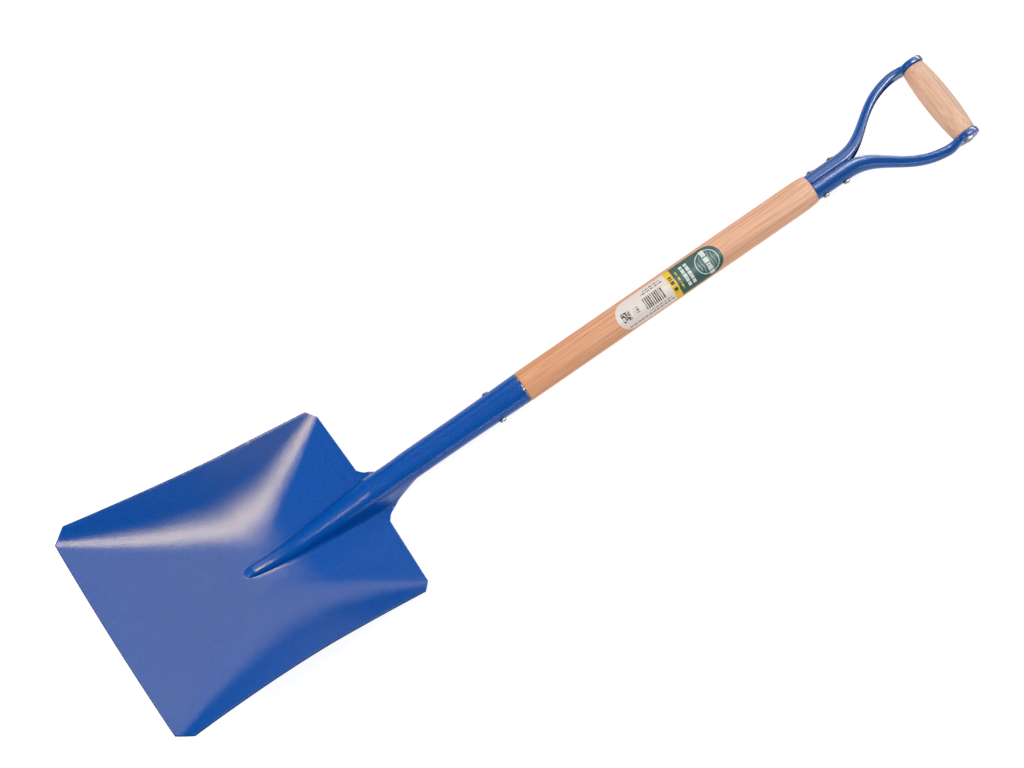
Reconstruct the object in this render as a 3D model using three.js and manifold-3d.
// Square-mouth shovel with a wooden shaft and a Y-shaped steel yoke that holds a wooden grip.
//
// Everything is modelled in the shaft's own frame, in millimetres: X runs along the shaft from the
// blade to the grip, Y across the blade, Z out of the face of the blade, and the origin is where
// the socket rivet crosses the shaft's axis. The finished group is then laid down face up, so that
// the back corners of the blade and the grip rest on the ground.
import * as THREE from 'three';
import { mergeVertices } from 'three/addons/utils/BufferGeometryUtils.js';
import Module from 'manifold-3d';

const wasm = await Module();
wasm.setup();

// ---------------------------------------------------------------------------
// Driving dimensions
// ---------------------------------------------------------------------------
const GAP = 0.3;                     // clearance between pieces that touch

// Shaft
const SHAFT_RADIUS = 16.5;
const SHOULDER_X = 390;              // where the wood stops against the yoke
const SHOULDER_ROUND = 22;           // length of the rounded shoulder
const SHOULDER_LEDGE = 0.4;          // how far the shoulder's end stands proud of the yoke
const TENON_LENGTH = 42;
const POINT_GAP = 6;                 // from the closed end of the seam to the tip of the wood
const POINT_TAPER = [4, 8];          // taper of that tip: on the radius, along the shaft

// Blade: a pan of pressed sheet, whose rims rise steeply at the sides
const SHEET = 1.8;                   // thickness of the blade's sheet
const REAR_X = -151;                 // rear edge, where the neck begins
const BLADE_LENGTH = 279.2;
const FRONT_HALF_WIDTH = 123.4;
const WAIST_INSET = 12.8;            // how much narrower each side is at the waist
const WAIST_RUN = 104;               // from the rear edge forward to the waist
const WAIST_POWER = 1.6;             // how late the sides swing out towards the front
const REAR_FLARE = 1.2;              // how much wider each side is at the rear than at the waist
const FRONT_BOW = 1.8;               // how far the middle of the front edge stands ahead of its ends
const REAR_SLANT = 2.5;              // how far the rear edge falls back towards its corners
const RIM_REAR_Z = -20.5;            // height of the side rim at the rear edge
const RIM_RISE = 0.551;              // how steeply the side rim climbs from there
const RIM_ARCH = 3.57e-4;            // how much that climb eases off, per millimetre
const WALL_SLOPE = 0.75;             // rise of the side walls
const LIP_Z = 97.5;                  // height of the front edge
const FLOOR_SLOPE = 0.68;            // fall of the front floor from the lip
const HEEL_Z = -19;                  // height of the heel, the floor next to the neck
const HEEL_SLOPE = 0.075;            // rise of the heel floor towards the front
const HEEL_DROOP = 0.075;            // fall of the heel floor towards the rear corners
const FLOOR_BLEND = 24;              // softness of the fold between the two floors
const WALL_BLEND = 16;               // softness of the fold at the foot of the side walls
const FRONT_CUT = [16, 10.5];        // corner cut at the front: along the side, along the edge
const REAR_CUT = [7, 8.4];           // corner cut at the rear

// Ridge: the raised crimp that carries the socket's round front into the pan
const RIDGE_LENGTH = 150;
const RIDGE_TIP_HALF_WIDTH = 5.5;
const RIDGE_TIP_HEIGHT = 6;
const RIDGE_NOSE = 10;               // length of the ridge's rounded end
const RIDGE_REAR_HEIGHT = 32.5;
const RIDGE_POWER = 1.6;             // how quickly the ridge gains height towards the neck
const RIDGE_ARCH_ANGLE = 80;         // degrees that the ridge's round top turns through on each side
const RIDGE_FILLET = 5.5;
const FLANGE_WIDTH = 16.4;           // sheet beside the ridge that the neck folds in under it

// Socket: the sheet rolled into a tube, open along a seam at the back
const SOCKET_STEP = 1.4;             // how far the tube's outside lies inside the shaft's surface
const MOUTH_STEP = 0.2;              // the same at the mouth
const MOUTH_X = 35;
const FLARE_LENGTH = 75;             // length over which the tube widens to its mouth
const NECK_LENGTH = 47;              // from the rear edge to where the flanges have closed
const GATHER_LENGTH = 9;             // from the rear edge to where the flanges start to fold
const GATHER_DEPTH = 7.5;            // how much narrower each flange is by then
const FOLD_DROOP = 5;                // how far the flanges hang while they swing in
const SEAM_HALF_ANGLE = 4;           // degrees

// Yoke: two half-round arms, back to back round the tenon, parting to reach the grip
const FERRULE_STEP = 2.3;            // how far the yoke's tube lies inside the shaft's surface
const YOKE_WALL = 2;
const ARM_HALF_HEIGHT = 9.3;
const ARM_DEPTH = 9.2;
const NARROWING = [2, 56];           // the arm slims from this far before the tenon's end to this far after
const SPREAD_LEAD = 4;               // how far before the tenon's end the arms begin to part
const SPREAD_LENGTH = 122;           // from there to the grip's axis
const SPREAD_HANDLES = [0.39, 0.41]; // pull of the S-bend's two ends, as parts of its length
const SPREAD_BOW = 7.4;              // how far the upper pull stands out beyond the eye
const EYE_RADIUS = 13.8;
const EYE_THICKNESS = 6.2;
const EYE_RECESS = 1;                // depth of the seat for the rod's head
const EYE_BLEND = [22, 4];           // the arm flattens into the eye between these distances from its axis
const EYE_BLEND_MARGIN = 2;          // how much lower than the eye the arm is where they meet
const EYE_SQUARENESS = 0.35;         // power of the section's curve at the eye, 1 being round
const CHANNEL_RUNOUT = 19;           // from the grip's axis back to the end of the arm's hollow

// Grip and its rod
const GRIP_LENGTH = 88;
const GRIP_END_RADIUS = 12.2;
const GRIP_MID_RADIUS = 15.1;
const GRIP_POWER = 2.2;              // how late the barrel shape narrows towards its ends
const GRIP_EDGE = 1;                 // bevel at each end
const ROD_RADIUS = 3;
const ROD_HEAD_RADIUS = 5.4;
const ROD_HEAD_HEIGHT = 3.4;
const ROD_HEAD_RIM = 1.4;            // height of the head's straight rim
const ROD_HEAD_FLAT = 3.2;           // radius of the head's flat top

// Rivets: a domed head at one end, a rolled tubular tail at the other
const SOCKET_RIVET_X = 0;
const YOKE_RIVET_MARGINS = [9.6, 7.6]; // from the shoulder, and from the tenon's end
const RIVET_RADIUS = 2.5;
const RIVET_HEAD_RADIUS = 4.2;
const RIVET_HEAD_HEIGHT = 2.2;
const RIVET_BORE = 1.4;
const RIVET_BORE_DEPTH = 1;          // how far the bore reaches below the seat
const RIVET_TAIL = { crown: 0.9, lip: 0.6, lipHeight: 1.2, foot: 0.4, chamfer: 0.5 };

// Label
const LABEL_START = 112.7;           // from the socket's mouth
const LABEL_LENGTH = 129.7;
const LABEL_HALF_ANGLE = 60;         // degrees
const LABEL_TURN = -18;              // degrees from the top towards the right
const LABEL_THICKNESS = 0.3;

// Sizes and places that follow from them
const FRONT_X = REAR_X - BLADE_LENGTH;
const WAIST_X = REAR_X - WAIST_RUN;
const WAIST_HALF_WIDTH = FRONT_HALF_WIDTH - WAIST_INSET;
const REAR_HALF_WIDTH = WAIST_HALF_WIDTH + REAR_FLARE;
const RIDGE_TIP_X = REAR_X - RIDGE_LENGTH;
const SOCKET_RADIUS = SHAFT_RADIUS - SOCKET_STEP;
const MOUTH_RADIUS = SHAFT_RADIUS - MOUTH_STEP;
const FLANGE_HALF_WIDTH = SOCKET_RADIUS + FLANGE_WIDTH;
const SEAM_X = REAR_X + NECK_LENGTH;
const FOLD_X = REAR_X + GATHER_LENGTH;
const FLARE_X = MOUTH_X - FLARE_LENGTH;
const TENON_END_X = SHOULDER_X + TENON_LENGTH;
const FERRULE_RADIUS = SHAFT_RADIUS - FERRULE_STEP;
const FERRULE_START_X = SHOULDER_X + GAP;
const SPREAD_X = TENON_END_X - SPREAD_LEAD;
const GRIP_X = SPREAD_X + SPREAD_LENGTH;
const CHANNEL_END_X = GRIP_X - CHANNEL_RUNOUT;
const EYE_FACE_Y = GRIP_LENGTH / 2 + GAP;
const YOKE_RIVET_XS = [SHOULDER_X + YOKE_RIVET_MARGINS[0], TENON_END_X - YOKE_RIVET_MARGINS[1]];

// ---------------------------------------------------------------------------
// Materials
// ---------------------------------------------------------------------------
const paint = new THREE.MeshStandardMaterial({ color: 0x0c4fa8, roughness: 0.45, metalness: 0.1 });
const gloss = new THREE.MeshStandardMaterial({ color: 0x0e54b4, roughness: 0.3, metalness: 0.1 });
const wood = new THREE.MeshStandardMaterial({ color: 0xdba683, roughness: 0.6, metalness: 0 });
const paleWood = new THREE.MeshStandardMaterial({ color: 0xe6bf9f, roughness: 0.55, metalness: 0 });
const steel = new THREE.MeshStandardMaterial({ color: 0xb9bcc0, roughness: 0.3, metalness: 1 });
const paper = new THREE.MeshStandardMaterial({ color: 0xe4e0d8, roughness: 0.5, metalness: 0 });

// ---------------------------------------------------------------------------
// Small tools
// ---------------------------------------------------------------------------
const radians = THREE.MathUtils.degToRad;
const lerp = THREE.MathUtils.lerp;
const clamp = THREE.MathUtils.clamp;
const CUTTER_LENGTH = 400;           // longer than anything that is cut through

// Moves every corner of a geometry to where place(point) says.
function reshape(geometry, place) {
  const position = geometry.attributes.position;
  const point = new THREE.Vector3();
  for (let i = 0; i < position.count; i += 1) {
    point.fromBufferAttribute(position, i);
    const moved = place(point);
    position.setXYZ(i, moved.x, moved.y, moved.z);
  }
  return geometry;
}

// A closed geometry as a solid that can be cut and joined.
function solid(geometry) {
  geometry.deleteAttribute('normal');
  geometry.deleteAttribute('uv');
  const merged = mergeVertices(geometry, 1e-4);
  const mesh = new wasm.Mesh({
    numProp: 3,
    vertProperties: new Float32Array(merged.attributes.position.array),
    triVerts: new Uint32Array(merged.index.array),
  });
  return new wasm.Manifold(mesh);
}

// A named mesh from a solid.
function piece(name, shape, material) {
  const { vertProperties, triVerts } = shape.getMesh();
  const geometry = new THREE.BufferGeometry();
  geometry.setAttribute('position', new THREE.BufferAttribute(vertProperties, 3));
  geometry.setIndex(new THREE.BufferAttribute(triVerts, 1));
  geometry.computeVertexNormals();
  const mesh = new THREE.Mesh(geometry, material);
  mesh.name = name;
  return mesh;
}

// A solid of revolution about Y from [radius, height] pairs, listed upwards.
function turned(profile, sides) {
  const points = profile.map(([radius, height]) => new THREE.Vector2(radius, height));
  return solid(new THREE.LatheGeometry(points, sides));
}

// A round hole across the shovel.
function crossHole(radius, x) {
  return solid(new THREE.CylinderGeometry(radius, radius, CUTTER_LENGTH, 24).translate(x, 0, 0));
}

// The larger of two heights, with a rounded valley between them.
function softMax(a, b, softness) {
  const overlap = Math.max(softness - Math.abs(a - b), 0);
  return Math.max(a, b) + (overlap * overlap) / (4 * softness);
}

// ---------------------------------------------------------------------------
// Blade and socket
// ---------------------------------------------------------------------------
const ARCH_STEPS = 6;                // columns of the sheet from the crest down the ridge's round top
const FOOT_STEP = ARCH_STEPS + 2;    // and to the foot of its fillet
const FLANGE_STEPS = FOOT_STEP + 2;  // and to the edge of the flange
const WING_STEPS = 7;                // columns from there to the side rim
const PAN_STEPS = FLANGE_STEPS + WING_STEPS;
const PAN_ROWS = 26;                 // rows of the sheet along the pan
const GATHER_ROWS = 3;               // and along the neck up to its fold
const FOLD_ROWS = 9;                 // and on to where the flanges have closed

function halfWidth(x) {
  if (x > WAIST_X) {
    const t = (x - WAIST_X) / (REAR_X - WAIST_X);
    return lerp(WAIST_HALF_WIDTH, REAR_HALF_WIDTH, t * t);
  }
  const t = (WAIST_X - x) / (WAIST_X - FRONT_X);
  return lerp(WAIST_HALF_WIDTH, FRONT_HALF_WIDTH, t ** WAIST_POWER);
}

function rimHeight(x) {
  const run = REAR_X - x;
  return RIM_REAR_Z + RIM_RISE * run - RIM_ARCH * run * run;
}

// Height of the pan's floor and walls, without the ridge.
function panHeight(x, y) {
  const side = Math.abs(y);
  const front = LIP_Z - FLOOR_SLOPE * (x - FRONT_X);
  const heel = HEEL_Z + HEEL_SLOPE * (REAR_X - x) - HEEL_DROOP * Math.max(side - FLANGE_HALF_WIDTH, 0);
  const wall = rimHeight(x) - WALL_SLOPE * (halfWidth(x) - side);
  return softMax(softMax(front, heel, FLOOR_BLEND), wall, WALL_BLEND);
}

function ridgeHalfWidth(x) {
  const t = clamp((x - RIDGE_TIP_X) / (REAR_X - RIDGE_TIP_X), 0, 1);
  return lerp(RIDGE_TIP_HALF_WIDTH, SOCKET_RADIUS, t);
}

function ridgeHeight(x) {
  const t = clamp((x - RIDGE_TIP_X) / (REAR_X - RIDGE_TIP_X), 0, 1);
  const full = lerp(RIDGE_TIP_HEIGHT, RIDGE_REAR_HEIGHT, t ** RIDGE_POWER);
  const nose = clamp((x - RIDGE_TIP_X) / RIDGE_NOSE, 0, 1);
  return full * Math.sqrt(1 - (1 - nose) ** 2);
}

// Section across the pan and its ridge: [y, z] of the face at a column counted from the crest.
function ridgeSection(x, column, edge = FLANGE_HALF_WIDTH) {
  const width = ridgeHalfWidth(x);
  const height = ridgeHeight(x);
  const rise = Math.min(height, width);
  const fillet = Math.min(RIDGE_FILLET, height / 2);
  const foot = width + Math.max(fillet, 1);
  if (column <= ARCH_STEPS) {
    const angle = radians(RIDGE_ARCH_ANGLE) * column / ARCH_STEPS;
    const y = width * Math.sin(angle);
    return [y, panHeight(x, y) + height - rise + rise * Math.cos(angle)];
  }
  if (column < FOOT_STEP) {
    const y = lerp(width, foot, 0.25);
    return [y, panHeight(x, y) + 0.3 * fillet];
  }
  const y = lerp(foot, edge, (column - FOOT_STEP) / (FLANGE_STEPS - FOOT_STEP));
  return [y, panHeight(x, y)];
}

// The same section on out to the side rim.
function panSection(x, column) {
  if (column <= FLANGE_STEPS) return ridgeSection(x, column);
  const y = lerp(FLANGE_HALF_WIDTH, halfWidth(x), (column - FLANGE_STEPS) / WING_STEPS);
  return [y, panHeight(x, y)];
}

function socketRadius(x) {
  return lerp(SOCKET_RADIUS, MOUTH_RADIUS, clamp((x - FLARE_X) / FLARE_LENGTH, 0, 1));
}

// Section across the neck and socket: the flanges narrow, then swing in under the ridge to close
// the tube.
function socketSection(x, column) {
  const gathered = Math.sin((Math.PI / 2) * clamp((x - REAR_X) / GATHER_LENGTH, 0, 1));
  const closed = clamp((x - FOLD_X) / (SEAM_X - FOLD_X), 0, 1);
  const flange = clamp((column - ARCH_STEPS) / (FLANGE_STEPS - ARCH_STEPS), 0, 1);
  const droop = FOLD_DROOP * Math.sin(Math.PI * closed) * flange;
  const radius = socketRadius(x);
  const angle = radians(180 - SEAM_HALF_ANGLE) * column / FLANGE_STEPS;
  const [y, z] = ridgeSection(Math.min(x, REAR_X), column, FLANGE_HALF_WIDTH - GATHER_DEPTH * gathered);
  return [
    lerp(y, radius * Math.sin(angle), closed),
    lerp(z, radius * Math.cos(angle), closed) - droop,
  ];
}

// A point of the sheet, at a depth below its face, in a section given by a function.
function sheetPoint(section, x, column, last, depth) {
  const at = (k) => {
    const [y, z] = section(x, Math.abs(k));
    return new THREE.Vector2(Math.sign(k) * y, z);
  };
  const along = at(Math.min(column + 1, last)).sub(at(Math.max(column - 1, -last))).normalize();
  const face = at(column);
  return new THREE.Vector3(x, face.x + along.y * depth, face.y - along.x * depth);
}

function pressedPan() {
  const box = new THREE.BoxGeometry(1, 1, 1, PAN_ROWS, 2 * PAN_STEPS, 1);
  return solid(reshape(box, (p) => {
    const column = Math.round(p.y * 2 * PAN_STEPS);
    const outward = Math.max(Math.abs(column) - FLANGE_STEPS, 0) / WING_STEPS;
    const along = p.x + 0.5;
    const plain = lerp(FRONT_X, REAR_X, along);
    const [side] = panSection(plain, Math.abs(column));
    const bow = FRONT_BOW * (side / FRONT_HALF_WIDTH) ** 2 * (1 - along);
    const x = plain + bow - REAR_SLANT * outward * along;
    return sheetPoint(panSection, x, column, PAN_STEPS, (0.5 - p.z) * SHEET);
  }));
}

function rolledSocket() {
  const stations = [];
  for (let i = 0; i < GATHER_ROWS; i += 1) stations.push(lerp(REAR_X, FOLD_X, i / GATHER_ROWS));
  for (let i = 0; i <= FOLD_ROWS; i += 1) stations.push(lerp(FOLD_X, SEAM_X, i / FOLD_ROWS));
  stations.push(FLARE_X, MOUTH_X);
  const rows = stations.length - 1;
  const box = new THREE.BoxGeometry(1, 1, 1, rows, 2 * FLANGE_STEPS, 1);
  return solid(reshape(box, (p) => {
    const column = Math.round(p.y * 2 * FLANGE_STEPS);
    const x = stations[Math.round((p.x + 0.5) * rows)];
    return sheetPoint(socketSection, x, column, FLANGE_STEPS, (0.5 - p.z) * SHEET);
  }));
}

// A wedge that takes one corner off the blade, cut straight down through the sheet.
function cornerWedge(x, side, inward, [alongSide, alongEdge], hand) {
  const reach = 4;                   // how far the wedge runs on past the corner, in cuts
  const wedge = new THREE.Shape([
    new THREE.Vector2(x + inward * alongSide * (1 + reach), hand * (side + alongEdge * reach)),
    new THREE.Vector2(x - inward * alongSide * reach, hand * (side - alongEdge * (1 + reach))),
    new THREE.Vector2(x - inward * alongSide * reach * 2, hand * (side + alongEdge * reach)),
  ]);
  const prism = new THREE.ExtrudeGeometry(wedge, { depth: CUTTER_LENGTH, bevelEnabled: false });
  return solid(prism.translate(0, 0, -CUTTER_LENGTH / 2));
}

function bladeAndSocket() {
  let blade = pressedPan().add(rolledSocket());
  for (const hand of [-1, 1]) {
    const frontSide = halfWidth(FRONT_X + FRONT_CUT[0]);
    const rearSide = halfWidth(REAR_X);
    blade = blade.subtract(cornerWedge(FRONT_X + FRONT_BOW, frontSide, 1, FRONT_CUT, hand));
    blade = blade.subtract(cornerWedge(REAR_X - REAR_SLANT, rearSide, -1, REAR_CUT, hand));
  }
  blade = blade.subtract(crossHole(RIVET_RADIUS + GAP, SOCKET_RIVET_X));
  return piece('blade_and_socket', blade, paint);
}

// ---------------------------------------------------------------------------
// Shaft
// ---------------------------------------------------------------------------
function woodShaft() {
  const low = SOCKET_RADIUS - SHEET - 2 * GAP;
  const high = MOUTH_RADIUS - SHEET - 2 * GAP;
  const tenon = FERRULE_RADIUS - YOKE_WALL - GAP;
  const tipX = SEAM_X + POINT_GAP;
  const bevel = 2;
  const profile = [
    [0, tipX],
    [low - POINT_TAPER[0], tipX],
    [low, tipX + POINT_TAPER[1]],
    [low, FLARE_X],
    [high, MOUTH_X],
    [high, MOUTH_X + GAP],
    [SHAFT_RADIUS, MOUTH_X + GAP],
  ];
  const roundSteps = 5;
  for (let i = 0; i <= roundSteps; i += 1) {
    const angle = (Math.PI / 2) * i / roundSteps;
    profile.push([
      lerp(FERRULE_RADIUS + SHOULDER_LEDGE, SHAFT_RADIUS, Math.cos(angle)),
      SHOULDER_X - SHOULDER_ROUND * (1 - Math.sin(angle)),
    ]);
  }
  profile.push([tenon, SHOULDER_X], [tenon, TENON_END_X - bevel], [tenon - bevel, TENON_END_X]);
  profile.push([0, TENON_END_X]);
  const onY = new THREE.LatheGeometry(profile.map(([r, h]) => new THREE.Vector2(r, h)), 32);
  let shaft = solid(onY.rotateZ(-Math.PI / 2));
  for (const x of [SOCKET_RIVET_X, ...YOKE_RIVET_XS]) {
    shaft = shaft.subtract(crossHole(RIVET_RADIUS + GAP, x));
  }
  return piece('shaft', shaft, wood);
}

// ---------------------------------------------------------------------------
// Yoke
// ---------------------------------------------------------------------------
const ARM_ROWS = 26;
const ARM_SIDES = 20;

// Line of an arm's inner rim, from the ferrule to the eye: straight, then one soft S.
function armPath() {
  const [lowHandle, highHandle] = SPREAD_HANDLES;
  const path = new THREE.CurvePath();
  path.add(new THREE.LineCurve3(
    new THREE.Vector3(FERRULE_START_X, GAP / 2, 0),
    new THREE.Vector3(SPREAD_X, GAP / 2, 0),
  ));
  path.add(new THREE.CubicBezierCurve3(
    new THREE.Vector3(SPREAD_X, GAP / 2, 0),
    new THREE.Vector3(SPREAD_X + lowHandle * SPREAD_LENGTH, GAP / 2, 0),
    new THREE.Vector3(SPREAD_X + highHandle * SPREAD_LENGTH, EYE_FACE_Y + SPREAD_BOW, 0),
    new THREE.Vector3(GRIP_X, EYE_FACE_Y, 0),
  ));
  return path;
}

// Half-round section of an arm, easing from the ferrule's half tube to the flat eye.
function armSize(x) {
  const leaving = THREE.MathUtils.smoothstep(x, TENON_END_X - NARROWING[0], TENON_END_X + NARROWING[1]);
  const arriving = THREE.MathUtils.smoothstep(x, GRIP_X - EYE_BLEND[0], GRIP_X - EYE_BLEND[1]);
  const depth = lerp(FERRULE_RADIUS - GAP / 2, ARM_DEPTH, leaving);
  const halfHeight = lerp(FERRULE_RADIUS, ARM_HALF_HEIGHT, leaving);
  return {
    depth: lerp(depth, EYE_THICKNESS, arriving),
    halfHeight: lerp(halfHeight, EYE_RADIUS - EYE_BLEND_MARGIN, arriving),
    squareness: lerp(1, EYE_SQUARENESS, arriving),
  };
}

// Sweeps a D-shaped section along the arm. With an inset it becomes the arm's hollow, drawn in by
// that much all round and running out past the arm's open back and its lower end.
function armSweep(hand, inset, endX) {
  const path = armPath();
  const share = (endX - FERRULE_START_X) / (GRIP_X - FERRULE_START_X);
  const rod = new THREE.CylinderGeometry(1, 1, 1, ARM_SIDES, ARM_ROWS);
  return solid(reshape(rod, (p) => {
    const t = clamp(p.y + 0.5, 0, 1);
    const point = path.getPoint(t * share);
    const ahead = path.getTangent(t * share);
    const size = armSize(point.x);
    const bulge = p.x > 0 ? (size.depth - inset) * p.x ** size.squareness : 0;
    const back = p.x < -0.01 ? 1.5 * inset : 0;
    const height = (size.halfHeight - inset) * Math.sign(p.z) * Math.abs(p.z) ** size.squareness;
    const early = t === 0 ? 4 * inset : 0;
    return new THREE.Vector3(
      point.x - early - ahead.y * (bulge - back),
      hand * (point.y + ahead.x * (bulge - back)),
      -hand * height,
    );
  }));
}

function yokeArm(hand, name) {
  const eye = new THREE.CylinderGeometry(EYE_RADIUS, EYE_RADIUS, EYE_THICKNESS, 40);
  eye.translate(GRIP_X, hand * (EYE_FACE_Y + EYE_THICKNESS / 2), 0);
  const seatRadius = ROD_HEAD_RADIUS + GAP;
  const seat = new THREE.CylinderGeometry(seatRadius, seatRadius, CUTTER_LENGTH, 32);
  seat.translate(GRIP_X, hand * (EYE_FACE_Y + EYE_THICKNESS - EYE_RECESS + CUTTER_LENGTH / 2), 0);
  let arm = armSweep(hand, 0, GRIP_X).add(solid(eye));
  arm = arm.subtract(armSweep(hand, YOKE_WALL, CHANNEL_END_X));
  arm = arm.subtract(solid(seat));
  arm = arm.subtract(crossHole(ROD_RADIUS + GAP, GRIP_X));
  for (const x of YOKE_RIVET_XS) arm = arm.subtract(crossHole(RIVET_RADIUS + GAP, x));
  return piece(name, arm, gloss);
}

// ---------------------------------------------------------------------------
// Grip, rod and rivets
// ---------------------------------------------------------------------------
function grip() {
  const half = GRIP_LENGTH / 2;
  const bore = ROD_RADIUS + GAP;
  const profile = [[bore, -half], [GRIP_END_RADIUS - GRIP_EDGE, -half]];
  const steps = 12;
  for (let i = 0; i <= steps; i += 1) {
    const t = 2 * i / steps - 1;
    const radius = lerp(GRIP_MID_RADIUS, GRIP_END_RADIUS, Math.abs(t) ** GRIP_POWER);
    profile.push([radius, t * (half - GRIP_EDGE)]);
  }
  profile.push([GRIP_END_RADIUS - GRIP_EDGE, half], [bore, half], [bore, -half]);
  const mesh = piece('grip', turned(profile, 28), paleWood);
  mesh.position.x = GRIP_X;
  return mesh;
}

// A rivet through the shovel, clenched against outsides that lie seatY from the middle.
function rivet(name, x, seatY) {
  const reach = seatY + GAP;
  const tail = reach + RIVET_HEAD_HEIGHT;
  const profile = [
    [0, RIVET_BORE_DEPTH - reach],
    [RIVET_BORE, RIVET_BORE_DEPTH - reach],
    [RIVET_BORE, RIVET_TAIL.chamfer - tail],
    [RIVET_BORE + RIVET_TAIL.crown, -tail],
    [RIVET_HEAD_RADIUS - RIVET_TAIL.lip, -reach - RIVET_TAIL.lipHeight],
    [RIVET_HEAD_RADIUS - RIVET_TAIL.foot, -reach],
    [RIVET_RADIUS, -reach],
    [RIVET_RADIUS, reach],
  ];
  const steps = 4;
  for (let i = 0; i < steps; i += 1) {
    const angle = (Math.PI / 2) * i / steps;
    profile.push([RIVET_HEAD_RADIUS * Math.cos(angle), reach + RIVET_HEAD_HEIGHT * Math.sin(angle)]);
  }
  profile.push([0, tail]);
  const mesh = piece(name, turned(profile, 20), steel);
  mesh.position.x = x;
  return mesh;
}

function gripRod() {
  const seat = EYE_FACE_Y + EYE_THICKNESS - EYE_RECESS + GAP;
  const top = seat + ROD_HEAD_HEIGHT;
  const rim = seat + ROD_HEAD_RIM;
  const profile = [
    [0, -top],
    [ROD_HEAD_FLAT, -top],
    [ROD_HEAD_RADIUS, -rim],
    [ROD_HEAD_RADIUS, -seat],
    [ROD_RADIUS, -seat],
    [ROD_RADIUS, seat],
    [ROD_HEAD_RADIUS, seat],
    [ROD_HEAD_RADIUS, rim],
    [ROD_HEAD_FLAT, top],
    [0, top],
  ];
  const mesh = piece('grip_rod', turned(profile, 24), steel);
  mesh.position.x = GRIP_X;
  return mesh;
}

// ---------------------------------------------------------------------------
// Label: a strip with round ends, wrapped part of the way round the shaft
// ---------------------------------------------------------------------------
function label() {
  const box = new THREE.BoxGeometry(1, 1, 1, 2, 18, 1);
  const endRadius = radians(LABEL_HALF_ANGLE) * SHAFT_RADIUS;
  const start = MOUTH_X + LABEL_START;
  const shape = reshape(box, (p) => {
    const across = 2 * p.y;
    const roundEnd = endRadius - endRadius * Math.sqrt(1 - across * across);
    const x = start + lerp(roundEnd, LABEL_LENGTH - roundEnd, p.x + 0.5);
    const angle = radians(LABEL_TURN + across * LABEL_HALF_ANGLE);
    const radius = SHAFT_RADIUS + GAP + (p.z + 0.5) * LABEL_THICKNESS;
    return new THREE.Vector3(x, radius * Math.sin(angle), radius * Math.cos(angle));
  });
  return piece('label', solid(shape), paper);
}

// ---------------------------------------------------------------------------
// Assembly, laid on the ground
// ---------------------------------------------------------------------------
const shovel = new THREE.Group();
shovel.add(bladeAndSocket());
shovel.add(woodShaft());
shovel.add(yokeArm(1, 'yoke_arm_left'));
shovel.add(yokeArm(-1, 'yoke_arm_right'));
shovel.add(grip());
shovel.add(gripRod());
shovel.add(rivet('socket_rivet', SOCKET_RIVET_X, socketRadius(SOCKET_RIVET_X)));
YOKE_RIVET_XS.forEach((x, i) => shovel.add(rivet(`yoke_rivet_${i + 1}`, x, FERRULE_RADIUS)));
shovel.add(label());

// Tip the shaft until the blade's back corners and the grip are equally low.
const cornerX = REAR_X - REAR_SLANT;
const cornerZ = panHeight(cornerX, REAR_HALF_WIDTH - REAR_CUT[1]) - SHEET;
shovel.rotation.y = Math.atan2(-GRIP_MID_RADIUS - cornerZ, GRIP_X - cornerX);

// The origin is on the ground, under the middle of the shovel's box.
const box = new THREE.Box3().setFromObject(shovel, true);
shovel.position.set(-(box.min.x + box.max.x) / 2, 0, -box.min.z);
shovel.updateMatrixWorld(true);

const group = new THREE.Group();
group.add(shovel);
export default group;
